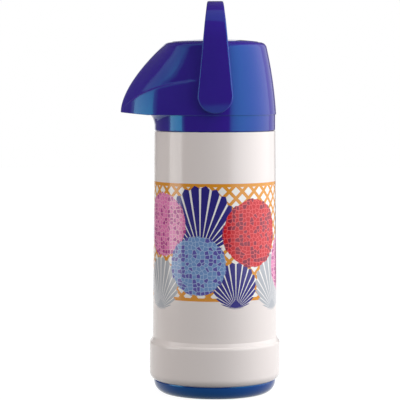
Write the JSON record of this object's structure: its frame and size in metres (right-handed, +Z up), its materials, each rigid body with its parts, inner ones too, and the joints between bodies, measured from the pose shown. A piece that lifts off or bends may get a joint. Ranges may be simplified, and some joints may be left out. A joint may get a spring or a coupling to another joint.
{
  "type": "pump pot",
  "caption": "Tall vacuum pump pot with a press-button air pump, a beak-shaped spout hood, a folding bail handle and a wide foot sleeve around a glass liner.",
  "frame": {"origin": "centre of the foot ring on the surface the pot stands on", "axes": "+Z up along the pot's axis, the beak points to -X, the handle's pivots lie along Y"},
  "size_m": [0.1475, 0.123, 0.36],
  "materials": {
    "head_blue": "injection-moulded polypropylene, glossy deep blue",
    "base_blue": "injection-moulded polypropylene, glossy blue",
    "case_cream": "injection-moulded polypropylene, glossy off-white with a printed band",
    "inner_plastic": "moulded polypropylene, natural white",
    "natural_plastic": "low-density polyethylene, milky",
    "rubber": "moulded silicone rubber, grey",
    "liner_glass": "silvered borosilicate glass",
    "steel": "stainless steel, bright drawn"
  },
  "bodies": {
    "pot": {"base_cap": "base_blue", "liner_cushion": "rubber", "outer_case": "case_cream", "glass_liner": "liner_glass", "neck_gasket": "rubber", "neck_collar": "head_blue"},
    "siphon": {"dip_tube": "natural_plastic", "tube_socket": "rubber"},
    "ball": {"valve_ball": "steel"},
    "head": {"head_shell": "head_blue", "head_skirt": "head_blue", "pump_base": "inner_plastic", "base_screws": "steel", "head_gasket": "rubber", "bellows": "natural_plastic", "return_spring": "steel", "air_valve": "rubber", "outlet_duct": "inner_plastic", "duct_seal": "rubber", "nozzle": "head_blue"},
    "button": {"press_button": "head_blue", "push_plate": "inner_plastic", "intake_valve": "rubber"},
    "handle": {"bail_handle": "head_blue", "pivot_clips": "inner_plastic"}
  },
  "joints": [
    {"name": "head_lift", "type": "slide", "parent": "pot", "child": "siphon", "axis": [0, 0, 1], "range_m": [0, 0.23]},
    {"name": "head_turn", "type": "hinge", "parent": "siphon", "child": "head", "pos_m": [0, 0, 0.25], "axis": [0, 0, 1], "range_deg": [0, 360]},
    {"name": "ball_lift", "type": "slide", "parent": "siphon", "child": "ball", "axis": [0, 0, 1], "range_m": [0, 0.003]},
    {"name": "button_press", "type": "slide", "parent": "head", "child": "button", "axis": [0, 0, -1], "range_m": [0, 0.02], "stiffness_N_per_m": 700, "springref_m": -0.008, "deforming": ["bellows", "return_spring"]},
    {"name": "handle_swing", "type": "hinge", "parent": "head", "child": "handle", "pos_m": [0, 0, 0.2745], "axis": [0, 1, 0], "range_deg": [-78, 128]}
  ]
}
